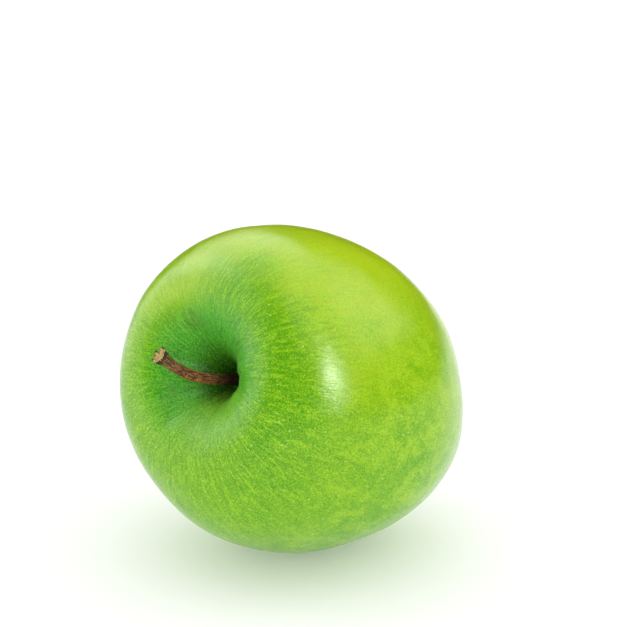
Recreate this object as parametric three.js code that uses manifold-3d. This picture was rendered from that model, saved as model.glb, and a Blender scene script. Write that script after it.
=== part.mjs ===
// A green apple lying on its side, in millimetres, +Z up.
// The origin is the middle of the small flat spot that it rests on, and the stem end points to -Y.

import * as THREE from 'three';
import { mergeVertices } from 'three/addons/utils/BufferGeometryUtils.js';
import Module from 'manifold-3d';

// ---- Driving dimensions -------------------------------------------------------------------

// Fruit. Heights are measured along the core from the widest level.
const EQUATOR_RADIUS = 40;
const SHOULDER_HEIGHT = 36;
const SHOULDER_CREST_RADIUS = 19;
const SHOULDER_FULLNESS = 2.0;
const LOBE_HEIGHT = 41;
const LOBE_CREST_RADIUS = 14;
const FLANK_FULLNESS = 1.7;

// Stem cavity and calyx basin
const CAVITY_DEPTH = 15;
const CAVITY_FLARE = 0.65;
const BASIN_DEPTH = 7;

// Five ribs, as shares of the local radius, and the unevenness of a grown fruit
const RIB_COUNT = 5;
const RIB_AT_SHOULDER = 0.008;
const RIB_AT_EQUATOR = 0.006;
const RIB_AT_LOBES = 0.03;
const LOBE_RISE = 1.2;
const SHOULDER_LEAN = 1.6;
const SHOULDER_LEAN_TOWARDS = THREE.MathUtils.degToRad(219);
const OVALNESS = 0.014;
const OVAL_TOWARDS = THREE.MathUtils.degToRad(56);
const TRIANGLE_SHARE = 0.02;
const TRIANGLE_TOWARDS = THREE.MathUtils.degToRad(84);

// How the fruit lies: the core's rise towards the stem, and the depth of the flat spot
const CORE_RISE = THREE.MathUtils.degToRad(18);
const FLAT_DEPTH = 0.3;

// Stem
const STEM_RADIUS = 1.25;
const STEM_FOOT_RADIUS = 1.6;
const STEM_KNOB_RADIUS = 1.85;
const STEM_KNOB_LENGTH = 3.2;
const STEM_RISE = 8.5;
const STEM_FOOT_CLEARANCE = 0.8;

// Dried remains of the blossom
const SEPAL_COUNT = 5;
const SEPAL_LENGTH = 6.5;
const SEPAL_WIDTH = 3.0;
const SEPAL_THICKNESS = 0.5;
const SEPAL_FOOT_CLEARANCE = 0.5;
const STAMEN_COUNT = 10;
const STAMEN_RADIUS = 0.22;
const STAMEN_LENGTH = 4.2;
const STAMEN_RING_RADIUS = 1.45;
const STYLE_RADIUS = 0.55;
const STYLE_LENGTH = 3.6;

// Clearance that separate pieces keep
const GAP = 0.3;

// Mesh fineness
const FRUIT_SEGMENTS = 60;
const CAVITY_RINGS = 8;
const SHOULDER_RINGS = 11;
const FLANK_RINGS = 13;
const BASIN_RINGS = 6;

const FULL_TURN = 2 * Math.PI;
const CAVITY_FLOOR_HEIGHT = SHOULDER_HEIGHT - CAVITY_DEPTH;
const CAVITY_FLOOR_RADIUS = STEM_FOOT_RADIUS + STEM_FOOT_CLEARANCE;
const BASIN_FLOOR_HEIGHT = BASIN_DEPTH - LOBE_HEIGHT;
const SEPAL_FOOT_RADIUS = STAMEN_RING_RADIUS + STAMEN_RADIUS + GAP + SEPAL_THICKNESS;
const BASIN_FLOOR_RADIUS = SEPAL_FOOT_RADIUS + SEPAL_THICKNESS / 2 + SEPAL_FOOT_CLEARANCE;

// ---- Materials ----------------------------------------------------------------------------

function material(color, roughness) {
  return new THREE.MeshStandardMaterial({ color, roughness, metalness: 0 });
}

const skinMaterial = material(0x92c43a, 0.35);
const stemMaterial = material(0x6b4630, 0.8);
const sepalMaterial = material(0x6f5a3c, 0.9);
const stamenMaterial = material(0x4a3826, 0.9);
const styleMaterial = material(0x57422c, 0.9);

// ---- Shape helpers ------------------------------------------------------------------------

// Joins rings of points into one closed body. Each ring runs counter-clockwise seen from its end.
function closedLoft(rings) {
  const sides = rings[0].length;
  const points = rings.flat();
  const indices = [];
  for (let ring = 0; ring < rings.length - 1; ring++) {
    for (let side = 0; side < sides; side++) {
      const a = ring * sides + side;
      const b = ring * sides + (side + 1) % sides;
      indices.push(a, b, b + sides);
      indices.push(a, b + sides, a + sides);
    }
  }
  const startCentre = points.push(centroid(rings[0])) - 1;
  const endCentre = points.push(centroid(rings.at(-1))) - 1;
  const lastRing = (rings.length - 1) * sides;
  for (let side = 0; side < sides; side++) {
    const next = (side + 1) % sides;
    indices.push(startCentre, next, side);
    indices.push(endCentre, lastRing + side, lastRing + next);
  }
  const geometry = new THREE.BufferGeometry().setFromPoints(points);
  geometry.setIndex(indices);
  geometry.computeVertexNormals();
  return geometry;
}

function centroid(ring) {
  const sum = new THREE.Vector3();
  ring.forEach((point) => sum.add(point));
  return sum.divideScalar(ring.length);
}

// An oval tube along a curve. sizeAt(t) gives its half width across `side` and its half thickness.
function taperedTube(curve, stations, sides, sideHint, sizeAt) {
  const rings = [];
  for (let station = 0; station <= stations; station++) {
    const t = station / stations;
    const centre = curve.getPointAt(t);
    const tangent = curve.getTangentAt(t);
    const across = sideHint.clone().addScaledVector(tangent, -sideHint.dot(tangent)).normalize();
    const through = new THREE.Vector3().crossVectors(tangent, across);
    const { halfWidth, halfThickness } = sizeAt(t);
    const ring = [];
    for (let side = 0; side < sides; side++) {
      const angle = FULL_TURN * side / sides;
      ring.push(centre.clone()
        .addScaledVector(across, halfWidth * Math.cos(angle))
        .addScaledVector(through, halfThickness * Math.sin(angle)));
    }
    rings.push(ring);
  }
  return closedLoft(rings);
}

function roundTube(curve, stations, sides, radiusAt) {
  const sideHint = new THREE.Vector3(1, 0, 0);
  return taperedTube(curve, stations, sides, sideHint, (t) => {
    const radius = radiusAt(t);
    return { halfWidth: radius, halfThickness: radius };
  });
}

// ---- Fruit --------------------------------------------------------------------------------
// Its own frame: z runs along the core to the stem, x points down and y sideways as it lies.

// Half outline from the calyx basin's floor to the stem cavity's floor, as radius and height.
function fruitProfile() {
  const outline = [];
  const quarter = Math.PI / 2;
  for (let ring = 0; ring < BASIN_RINGS; ring++) {
    const inwards = 1 - ring / BASIN_RINGS;
    const radius = THREE.MathUtils.lerp(LOBE_CREST_RADIUS, BASIN_FLOOR_RADIUS, inwards);
    const rise = BASIN_DEPTH * Math.pow(Math.sin(quarter * inwards), 1.5);
    outline.push({ radius, height: rise - LOBE_HEIGHT });
  }
  for (let ring = 0; ring < FLANK_RINGS; ring++) {
    const angle = quarter * (1 - ring / FLANK_RINGS);
    const power = 2 / FLANK_FULLNESS;
    const radius = LOBE_CREST_RADIUS
      + (EQUATOR_RADIUS - LOBE_CREST_RADIUS) * Math.pow(Math.cos(angle), power);
    outline.push({ radius, height: -LOBE_HEIGHT * Math.pow(Math.sin(angle), power) });
  }
  for (let ring = 0; ring < SHOULDER_RINGS; ring++) {
    const angle = quarter * ring / SHOULDER_RINGS;
    const power = 2 / SHOULDER_FULLNESS;
    const radius = SHOULDER_CREST_RADIUS
      + (EQUATOR_RADIUS - SHOULDER_CREST_RADIUS) * Math.pow(Math.cos(angle), power);
    outline.push({ radius, height: SHOULDER_HEIGHT * Math.pow(Math.sin(angle), power) });
  }
  for (let ring = 0; ring <= CAVITY_RINGS; ring++) {
    const outwards = Math.pow(1 - ring / CAVITY_RINGS, 1.3);
    const radius = THREE.MathUtils.lerp(CAVITY_FLOOR_RADIUS, SHOULDER_CREST_RADIUS, outwards);
    const drop = CAVITY_DEPTH * (1 - Math.pow(Math.sin(quarter * outwards), CAVITY_FLARE));
    outline.push({ radius, height: SHOULDER_HEIGHT - drop });
  }
  return outline;
}

// Where a point of the half outline lies once the ribs and the unevenness are added.
function fruitPoint({ radius, height }, turn) {
  const down = THREE.MathUtils.clamp(
    (SHOULDER_HEIGHT - height) / (SHOULDER_HEIGHT + LOBE_HEIGHT), 0, 1);
  const rib = down < 0.5
    ? THREE.MathUtils.lerp(RIB_AT_SHOULDER, RIB_AT_EQUATOR, down * 2)
    : THREE.MathUtils.lerp(RIB_AT_EQUATOR, RIB_AT_LOBES, Math.pow(down * 2 - 1, 2));
  const fade = Math.min(1, radius / SHOULDER_CREST_RADIUS);
  const wave = Math.cos(RIB_COUNT * turn);
  const swell = 1 + rib * wave * fade
    + OVALNESS * Math.cos(2 * (turn - OVAL_TOWARDS))
    + TRIANGLE_SHARE * Math.cos(3 * (turn - TRIANGLE_TOWARDS)) * Math.sin(Math.PI * down);
  const leanShare = THREE.MathUtils.clamp(height / SHOULDER_HEIGHT, 0, 1)
    * Math.min(1.5, radius / SHOULDER_CREST_RADIUS);
  const lobeShare = Math.pow(THREE.MathUtils.clamp(-height / LOBE_HEIGHT, 0, 1), 4);
  const lifted = height
    + SHOULDER_LEAN * leanShare * Math.cos(turn - SHOULDER_LEAN_TOWARDS)
    - LOBE_RISE * lobeShare * fade * wave;
  return new THREE.Vector3(
    radius * swell * Math.cos(turn), radius * swell * Math.sin(turn), lifted);
}

function fruitGeometry() {
  const rings = fruitProfile().map((outlinePoint) => {
    const ring = [];
    for (let segment = 0; segment < FRUIT_SEGMENTS; segment++) {
      ring.push(fruitPoint(outlinePoint, FULL_TURN * segment / FRUIT_SEGMENTS));
    }
    return ring;
  });
  return closedLoft(rings);
}

// ---- Lying down ---------------------------------------------------------------------------

// Turns the fruit's own frame so that it lies, with its core rising towards the stem.
function lyingTurn() {
  const sine = Math.sin(CORE_RISE);
  const cosine = Math.cos(CORE_RISE);
  return new THREE.Matrix4().makeBasis(
    new THREE.Vector3(0, -sine, -cosine),
    new THREE.Vector3(1, 0, 0),
    new THREE.Vector3(0, -cosine, sine));
}

const wasm = await Module();
wasm.setup();

function toSolid(geometry) {
  const bare = geometry.clone();
  bare.deleteAttribute('normal');
  bare.deleteAttribute('uv');
  const merged = mergeVertices(bare);
  return new wasm.Manifold(new wasm.Mesh({
    numProp: 3,
    vertProperties: new Float32Array(merged.attributes.position.array),
    triVerts: new Uint32Array(merged.index.array),
  }));
}

function toGeometry(solid) {
  const mesh = solid.getMesh();
  const geometry = new THREE.BufferGeometry();
  geometry.setAttribute('position', new THREE.BufferAttribute(mesh.vertProperties, 3));
  geometry.setIndex(new THREE.BufferAttribute(mesh.triVerts, 1));
  geometry.computeVertexNormals();
  return geometry;
}

// Cuts the flat spot, and finds the shift that brings its middle to the origin.
function layFruitDown(geometry) {
  const turned = geometry.clone().applyMatrix4(lyingTurn());
  turned.computeBoundingBox();
  const drop = -turned.boundingBox.min.z - FLAT_DEPTH;
  turned.translate(0, 0, drop);
  const slabSide = 4 * EQUATOR_RADIUS;
  const slab = new THREE.BoxGeometry(slabSide, slabSide, slabSide);
  slab.translate(0, 0, -slabSide / 2);
  const cut = toGeometry(toSolid(turned).subtract(toSolid(slab)));
  const flat = new THREE.Box3();
  const position = cut.attributes.position;
  for (let index = 0; index < position.count; index++) {
    const point = new THREE.Vector3().fromBufferAttribute(position, index);
    if (point.z < GAP / 1000) flat.expandByPoint(point);
  }
  const middle = flat.getCenter(new THREE.Vector3());
  cut.translate(-middle.x, -middle.y, 0);
  return { cut, shift: new THREE.Vector3(-middle.x, -middle.y, drop) };
}

// ---- Stem ---------------------------------------------------------------------------------

// Rises from the cavity's floor, sags a little, and bends up at its knob.
function stemCurve() {
  const foot = CAVITY_FLOOR_HEIGHT + GAP;
  const tip = SHOULDER_HEIGHT + STEM_RISE;
  const along = (share) => THREE.MathUtils.lerp(foot, tip, share);
  return new THREE.CatmullRomCurve3([
    new THREE.Vector3(0, 0, foot),
    new THREE.Vector3(0, 0, foot + STEM_FOOT_RADIUS),
    new THREE.Vector3(0.9, -1.2, along(0.30)),
    new THREE.Vector3(0.9, -2.1, along(0.58)),
    new THREE.Vector3(-0.4, -2.9, along(0.82)),
    new THREE.Vector3(-2.2, -3.7, tip),
  ]);
}

function stemGeometry() {
  const curve = stemCurve();
  const length = curve.getLength();
  return roundTube(curve, 20, 12, (t) => {
    const fromFoot = t * length;
    const fromTip = length - fromFoot;
    const foot = (STEM_FOOT_RADIUS - STEM_RADIUS) * Math.exp(-fromFoot / STEM_FOOT_RADIUS);
    const knob = THREE.MathUtils.smoothstep(STEM_KNOB_LENGTH - fromTip, 0, STEM_KNOB_LENGTH);
    return STEM_RADIUS + foot + (STEM_KNOB_RADIUS - STEM_RADIUS) * knob;
  });
}

// ---- Remains of the blossom, in the calyx basin -------------------------------------------

// A point at a radius from the core, at an angle round it and a distance out of the basin's floor.
function basinPoint(radius, turn, out) {
  return new THREE.Vector3(
    radius * Math.cos(turn), radius * Math.sin(turn), BASIN_FLOOR_HEIGHT - out);
}

// A dried sepal stands on the basin's floor and curls outwards.
function sepalGeometry(index) {
  const turn = FULL_TURN * (index + 0.5) / SEPAL_COUNT;
  const foot = SEPAL_FOOT_RADIUS;
  const curve = new THREE.CatmullRomCurve3([
    basinPoint(foot, turn, GAP),
    basinPoint(foot + 0.07 * SEPAL_LENGTH, turn, GAP + 0.30 * SEPAL_LENGTH),
    basinPoint(foot + 0.26 * SEPAL_LENGTH, turn, GAP + 0.56 * SEPAL_LENGTH),
    basinPoint(foot + 0.56 * SEPAL_LENGTH, turn, GAP + 0.66 * SEPAL_LENGTH),
    basinPoint(foot + 0.78 * SEPAL_LENGTH, turn, GAP + 0.56 * SEPAL_LENGTH),
  ]);
  const across = new THREE.Vector3(-Math.sin(turn), Math.cos(turn), 0);
  return taperedTube(curve, 8, 8, across, (t) => {
    const taper = Math.pow(Math.cos(Math.PI / 2 * t), 0.8);
    const halfWidth = SEPAL_WIDTH / 2 * (0.1 + 0.9 * taper) * (0.72 + 0.28 * Math.sin(Math.PI * t));
    return { halfWidth, halfThickness: SEPAL_THICKNESS / 2 * (1 - 0.5 * t) };
  });
}

// A dried stamen leans outwards, each by its own amount.
function stamenGeometry(index) {
  const turn = FULL_TURN * index / STAMEN_COUNT;
  const lean = 0.12 + 0.08 * Math.sin(index * 2.4);
  const length = STAMEN_LENGTH * (1 + 0.12 * Math.cos(index * 1.7));
  const curve = new THREE.CatmullRomCurve3([
    basinPoint(STAMEN_RING_RADIUS, turn, GAP),
    basinPoint(STAMEN_RING_RADIUS + 0.3 * lean * length, turn, GAP + 0.5 * length),
    basinPoint(STAMEN_RING_RADIUS + lean * length, turn, GAP + length),
  ]);
  return roundTube(curve, 5, 6, (t) => STAMEN_RADIUS * (1 - 0.3 * t));
}

function styleGeometry() {
  const curve = new THREE.LineCurve3(
    basinPoint(0, 0, GAP), basinPoint(0, 0, GAP + STYLE_LENGTH));
  return roundTube(curve, 5, 10, (t) => STYLE_RADIUS * (1 - 0.45 * t));
}

// ---- Assembly -----------------------------------------------------------------------------

function piece(name, geometry, pieceMaterial) {
  const mesh = new THREE.Mesh(geometry, pieceMaterial);
  mesh.name = name;
  return mesh;
}

const apple = new THREE.Group();
const { cut, shift } = layFruitDown(fruitGeometry());
apple.add(piece('fruit', cut, skinMaterial));

const attached = new THREE.Group();
attached.setRotationFromMatrix(lyingTurn());
attached.position.copy(shift);
apple.add(attached);

attached.add(piece('stem', stemGeometry(), stemMaterial));
for (let index = 0; index < SEPAL_COUNT; index++) {
  attached.add(piece(`sepal_${index + 1}`, sepalGeometry(index), sepalMaterial.clone()));
}
for (let index = 0; index < STAMEN_COUNT; index++) {
  const name = `stamen_${String(index + 1).padStart(2, '0')}`;
  attached.add(piece(name, stamenGeometry(index), stamenMaterial.clone()));
}
attached.add(piece('style_remains', styleGeometry(), styleMaterial));

export default apple;
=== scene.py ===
"""A green apple lying on its side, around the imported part. Blender units are metres, +Z up."""

import math

import bpy
import numpy as np
from mathutils import Matrix, Vector, noise


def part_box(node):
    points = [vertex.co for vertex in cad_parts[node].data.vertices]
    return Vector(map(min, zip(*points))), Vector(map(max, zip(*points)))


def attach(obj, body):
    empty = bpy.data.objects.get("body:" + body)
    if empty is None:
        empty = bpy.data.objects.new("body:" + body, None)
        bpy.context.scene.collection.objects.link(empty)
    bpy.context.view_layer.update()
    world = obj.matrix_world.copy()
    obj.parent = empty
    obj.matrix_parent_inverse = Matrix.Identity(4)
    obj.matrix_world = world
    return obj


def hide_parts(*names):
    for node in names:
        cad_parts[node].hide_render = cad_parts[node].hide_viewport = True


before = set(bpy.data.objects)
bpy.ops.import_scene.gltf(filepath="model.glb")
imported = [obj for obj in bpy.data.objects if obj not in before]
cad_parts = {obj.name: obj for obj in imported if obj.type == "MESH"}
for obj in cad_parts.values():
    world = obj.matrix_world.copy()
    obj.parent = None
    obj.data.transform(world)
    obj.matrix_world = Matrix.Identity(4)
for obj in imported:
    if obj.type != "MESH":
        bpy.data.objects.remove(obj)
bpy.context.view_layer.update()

MM = 0.001
TURN = 2 * math.pi
QUARTER = math.pi / 2

# ---- The fruit's sizes, in millimetres, as in the part ------------------------------------

EQUATOR_RADIUS = 40
SHOULDER_HEIGHT = 36
SHOULDER_CREST_RADIUS = 19
SHOULDER_FULLNESS = 2.0
LOBE_HEIGHT = 41
LOBE_CREST_RADIUS = 14
FLANK_FULLNESS = 1.7
CAVITY_DEPTH = 15
CAVITY_FLARE = 0.65
CAVITY_FLOOR_RADIUS = 2.4
BASIN_DEPTH = 7
BASIN_FLOOR_RADIUS = 3.22

RIB_COUNT = 5
RIB_AT_SHOULDER = 0.008
RIB_AT_EQUATOR = 0.006
RIB_AT_LOBES = 0.03
LOBE_RISE = 1.2
SHOULDER_LEAN = 1.6
SHOULDER_LEAN_TOWARDS = math.radians(219)
OVALNESS = 0.014
OVAL_TOWARDS = math.radians(56)
TRIANGLE_SHARE = 0.02
TRIANGLE_TOWARDS = math.radians(84)

BASIN_CURVE = 1.5
CAVITY_CURVE = 1.3
LEAN_LIMIT = 1.5

CORE_RISE = math.radians(18)
STEM_RISE = 8.5
GAP = 0.3
CAVITY_FLOOR_HEIGHT = SHOULDER_HEIGHT - CAVITY_DEPTH
BASIN_FLOOR_HEIGHT = BASIN_DEPTH - LOBE_HEIGHT

# ---- Fine relief, which the part leaves out -----------------------------------------------

# How many round the core, where they start in radians, and their share of the height
CAVITY_FOLDS = ((6, 0.8, 0.45), (9, 2.1, 0.35), (14, 4.0, 0.25), (23, 1.3, 0.12))
CAVITY_FOLD_HEIGHT = 0.34
CAVITY_FOLD_CURVE = 1.4
BASIN_PUCKERS = ((10, 0.4, 1.0), (25, 2.0, 0.5))
BASIN_PUCKER_HEIGHT = 0.22
# Size, offset into the noise, and height
SKIN_SWELLS = ((17, 3.1, 0.30), (7, 8.7, 0.10))

# ---- The camera, as seen from the fruit's middle ------------------------------------------

CAMERA_AZIMUTH = math.radians(41.8)
CAMERA_ELEVATION = math.radians(15.5)
CAMERA_DISTANCE = 285.7 * MM
CAMERA_LENS = 66.0
SENSOR_WIDTH = 36.0
CLIP_START = 10 * MM
AIM_RIGHT = math.radians(0.80)
AIM_UP = math.radians(3.80)

# ---- Fineness of the fruit's mesh, and the border of its unrolled skin ---------------------

UV_MARGIN = 0.01
OUTLINE_STEPS = 800
FRUIT_RINGS = 250
FRUIT_SEGMENTS = 320


# ---- Small helpers ------------------------------------------------------------------------

def lerp(a, b, t):
    return a + (b - a) * t


def smoothstep(low, high, x):
    t = np.clip((x - low) / (high - low), 0, 1)
    return t * t * (3 - 2 * t)


def angles(sides):
    """Even steps round a circle, in radians."""
    return np.arange(sides) * TURN / sides


def srgb(red, green, blue):
    """A colour given as 0 to 255 values for a screen, as the linear colour that a shader takes."""
    def linear(value):
        value /= 255
        return value / 12.92 if value <= 0.04045 else ((value + 0.055) / 1.055) ** 2.4
    return (linear(red), linear(green), linear(blue), 1.0)


def link(made):
    bpy.context.scene.collection.objects.link(made)


def lying_axes():
    """Columns are the fruit's own x (down), y (sideways) and z (along the core to the stem)."""
    sine, cosine = math.sin(CORE_RISE), math.cos(CORE_RISE)
    return np.array([[0, 1, 0], [-sine, 0, -cosine], [-cosine, 0, sine]])


def shells_object(name, shells):
    """One smooth mesh of closed shells. A shell is an array of rings by sides by three, in metres."""
    vertices, faces = [], []
    for points in shells:
        rings, sides, _ = points.shape
        first = len(vertices)
        vertices.extend(tuple(p) for p in points.reshape(-1, 3))
        for ring in range(rings - 1):
            for side in range(sides):
                a = first + ring * sides + side
                b = first + ring * sides + (side + 1) % sides
                faces.append((a, b, b + sides, a + sides))
        start, end = len(vertices), len(vertices) + 1
        vertices.append(tuple(points[0].mean(axis=0)))
        vertices.append(tuple(points[-1].mean(axis=0)))
        last = first + (rings - 1) * sides
        for side in range(sides):
            following = (side + 1) % sides
            faces.append((start, first + following, first + side))
            faces.append((end, last + side, last + following))
    mesh = bpy.data.meshes.new(name)
    mesh.from_pydata(vertices, [], faces)
    mesh.update()
    mesh.shade_smooth()
    made = bpy.data.objects.new(name, mesh)
    link(made)
    return made


def store_vector(mesh, name, shells):
    """An attribute given for the same shells as the mesh. A shell's two middle points take means."""
    values = []
    for shell in shells:
        values.append(shell.reshape(-1, 3))
        values.append(shell[0].mean(axis=0, keepdims=True))
        values.append(shell[-1].mean(axis=0, keepdims=True))
    values = np.ascontiguousarray(np.concatenate(values), dtype=np.float32)
    attribute = mesh.attributes.new(name, "FLOAT_VECTOR", "POINT")
    attribute.data.foreach_set("vector", values.ravel())


# ---- Fruit --------------------------------------------------------------------------------

def fruit_outline(count):
    """Half outline from the basin's floor to the cavity's floor, at even steps along its length."""
    t = np.linspace(0, 1, OUTLINE_STEPS)
    power_low, power_high = 2 / FLANK_FULLNESS, 2 / SHOULDER_FULLNESS
    inwards = 1 - t
    basin = np.stack([
        lerp(LOBE_CREST_RADIUS, BASIN_FLOOR_RADIUS, inwards),
        BASIN_DEPTH * np.sin(QUARTER * inwards) ** BASIN_CURVE - LOBE_HEIGHT], axis=1)
    angle = QUARTER * (1 - t)
    flank = np.stack([
        LOBE_CREST_RADIUS + (EQUATOR_RADIUS - LOBE_CREST_RADIUS) * np.cos(angle) ** power_low,
        -LOBE_HEIGHT * np.sin(angle) ** power_low], axis=1)
    angle = QUARTER * t
    shoulder = np.stack([
        SHOULDER_CREST_RADIUS
        + (EQUATOR_RADIUS - SHOULDER_CREST_RADIUS) * np.cos(angle) ** power_high,
        SHOULDER_HEIGHT * np.sin(angle) ** power_high], axis=1)
    outwards = (1 - t) ** CAVITY_CURVE
    cavity = np.stack([
        lerp(CAVITY_FLOOR_RADIUS, SHOULDER_CREST_RADIUS, outwards),
        SHOULDER_HEIGHT - CAVITY_DEPTH * (1 - np.sin(QUARTER * outwards) ** CAVITY_FLARE)], axis=1)
    dense = np.concatenate([basin[:-1], flank[:-1], shoulder[:-1], cavity])
    length = np.concatenate([[0], np.cumsum(np.hypot(*np.diff(dense, axis=0).T))])
    even = np.linspace(0, length[-1], count)
    return np.interp(even, length, dense[:, 0]), np.interp(even, length, dense[:, 1]), even


def fruit_points(radius, height, turn):
    """The outline with its ribs and unevenness, in the fruit's own frame, in millimetres."""
    radius, height = radius[:, None], height[:, None]
    down = np.clip((SHOULDER_HEIGHT - height) / (SHOULDER_HEIGHT + LOBE_HEIGHT), 0, 1)
    rib = np.where(
        down < 0.5,
        lerp(RIB_AT_SHOULDER, RIB_AT_EQUATOR, down * 2),
        lerp(RIB_AT_EQUATOR, RIB_AT_LOBES, (down * 2 - 1) ** 2))
    fade = np.minimum(1, radius / SHOULDER_CREST_RADIUS)
    wave = np.cos(RIB_COUNT * turn)
    swell = (
        1 + rib * wave * fade
        + OVALNESS * np.cos(2 * (turn - OVAL_TOWARDS))
        + TRIANGLE_SHARE * np.cos(3 * (turn - TRIANGLE_TOWARDS)) * np.sin(np.pi * down))
    lean_share = (
        np.clip(height / SHOULDER_HEIGHT, 0, 1)
        * np.minimum(LEAN_LIMIT, radius / SHOULDER_CREST_RADIUS))
    lobe_share = np.clip(-height / LOBE_HEIGHT, 0, 1) ** 4
    lifted = (
        height + SHOULDER_LEAN * lean_share * np.cos(turn - SHOULDER_LEAN_TOWARDS)
        - LOBE_RISE * lobe_share * fade * wave)
    return np.stack([
        radius * swell * np.cos(turn), radius * swell * np.sin(turn),
        np.broadcast_to(lifted, (len(radius), len(turn)))], axis=-1)


def outward_normals(points):
    """Unit normals of a grid of points that closes round its second axis."""
    around = np.roll(points, -1, axis=1) - np.roll(points, 1, axis=1)
    along = np.gradient(points, axis=0)
    normals = np.cross(around, along)
    return normals / np.maximum(np.linalg.norm(normals, axis=-1, keepdims=True), 1e-9)


def field(points, size, offset):
    """Smooth noise between about -1 and 1 over a grid of points, with features of one size."""
    flat = points.reshape(-1, 3) / size + offset
    values = [noise.noise(Vector(p)) for p in flat]
    return np.array(values).reshape(points.shape[:-1])


def waves(turn, kinds):
    """The sum of waves round the core. Each kind is a count, a start in radians and a share."""
    return sum(share * np.cos(count * turn + start) for count, start, share in kinds)


def arch(radius, crest_radius, inside):
    """0 at the core and at the crest and 1 halfway between them, and 0 everywhere else."""
    return np.where(inside, np.sin(np.pi * np.clip(radius / crest_radius, 0, 1)), 0)


def fine_relief(points, radius, height, turn):
    """Folds that run into the cavity and the basin, and slow swells of the skin, in millimetres."""
    in_cavity = (height > 0) & (radius < SHOULDER_CREST_RADIUS)
    in_basin = (height < 0) & (radius < LOBE_CREST_RADIUS)
    cavity = arch(radius, SHOULDER_CREST_RADIUS, in_cavity) ** CAVITY_FOLD_CURVE
    basin = arch(radius, LOBE_CREST_RADIUS, in_basin)
    relief = CAVITY_FOLD_HEIGHT * cavity[:, None] * waves(turn, CAVITY_FOLDS)
    relief = relief + BASIN_PUCKER_HEIGHT * basin[:, None] * waves(turn, BASIN_PUCKERS)
    for size, offset, swell_height in SKIN_SWELLS:
        relief = relief + swell_height * field(points, size, offset)
    return relief


def rest_shift(turned):
    """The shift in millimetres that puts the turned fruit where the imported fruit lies."""
    low, high = (np.array(corner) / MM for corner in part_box("fruit"))
    middle = (low + high) / 2 - (turned.min(axis=(0, 1)) + turned.max(axis=(0, 1))) / 2
    return np.array([middle[0], middle[1], high[2] - turned[..., 2].max()])


def place(points, shift):
    """From the fruit's own frame in millimetres to the row's frame in metres."""
    return (points @ lying_axes().T + shift) * MM


outline_radius, outline_height, outline_along = fruit_outline(FRUIT_RINGS)
outline_turn = angles(FRUIT_SEGMENTS)
plain_points = fruit_points(outline_radius, outline_height, outline_turn)
SHIFT = rest_shift(plain_points @ lying_axes().T)
FRUIT_MIDDLE = Vector(SHIFT) * MM


def make_fruit():
    relief = fine_relief(plain_points, outline_radius, outline_height, outline_turn)
    points = plain_points + outward_normals(plain_points) * relief[..., None]
    placed = place(points, SHIFT)
    # The relief must not reach below the flat spot
    placed[..., 2] = np.maximum(placed[..., 2], 0)
    fruit = shells_object("apple_fruit", [placed])
    mesh = fruit.data
    store_vector(mesh, "core_place", [points])
    store_vector(mesh, "meridian", [around_and_along(outline_along, outline_turn)])
    add_unrolled_uv(mesh, *points.shape[:2])
    return fruit


def around_and_along(along, turn):
    """For each point of a grid: the cosine and sine of its turn, and its length along, unbroken."""
    shape = (len(along), len(turn))
    return np.stack([
        np.broadcast_to(np.cos(turn), shape), np.broadcast_to(np.sin(turn), shape),
        np.broadcast_to(along[:, None], shape)], axis=-1)


def add_unrolled_uv(mesh, rings, sides):
    """The skin unrolled: turn across, outline length up. The two middle points are at the edges."""
    layer = mesh.uv_layers.new(name="OFBake")
    grid = rings * sides
    values = np.zeros((len(mesh.loops), 2), dtype=np.float32)
    for polygon in mesh.polygons:
        indices = list(polygon.vertices)
        columns = [i % sides for i in indices if i < grid]
        wraps = max(columns) == sides - 1 and min(columns) == 0
        for loop, index in zip(polygon.loop_indices, indices):
            if index < grid:
                ring, side = divmod(index, sides)
                column = sides if wraps and side == 0 else side
                values[loop] = (column / sides, lerp(UV_MARGIN, 1 - UV_MARGIN, ring / (rings - 1)))
            else:
                low = index == grid
                column = sum(sides if wraps and c == 0 else c for c in columns) / len(columns)
                values[loop] = (column / sides, 0.0 if low else 1.0)
    layer.data.foreach_set("uv", values.ravel())


# ---- Shader building ----------------------------------------------------------------------

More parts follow.
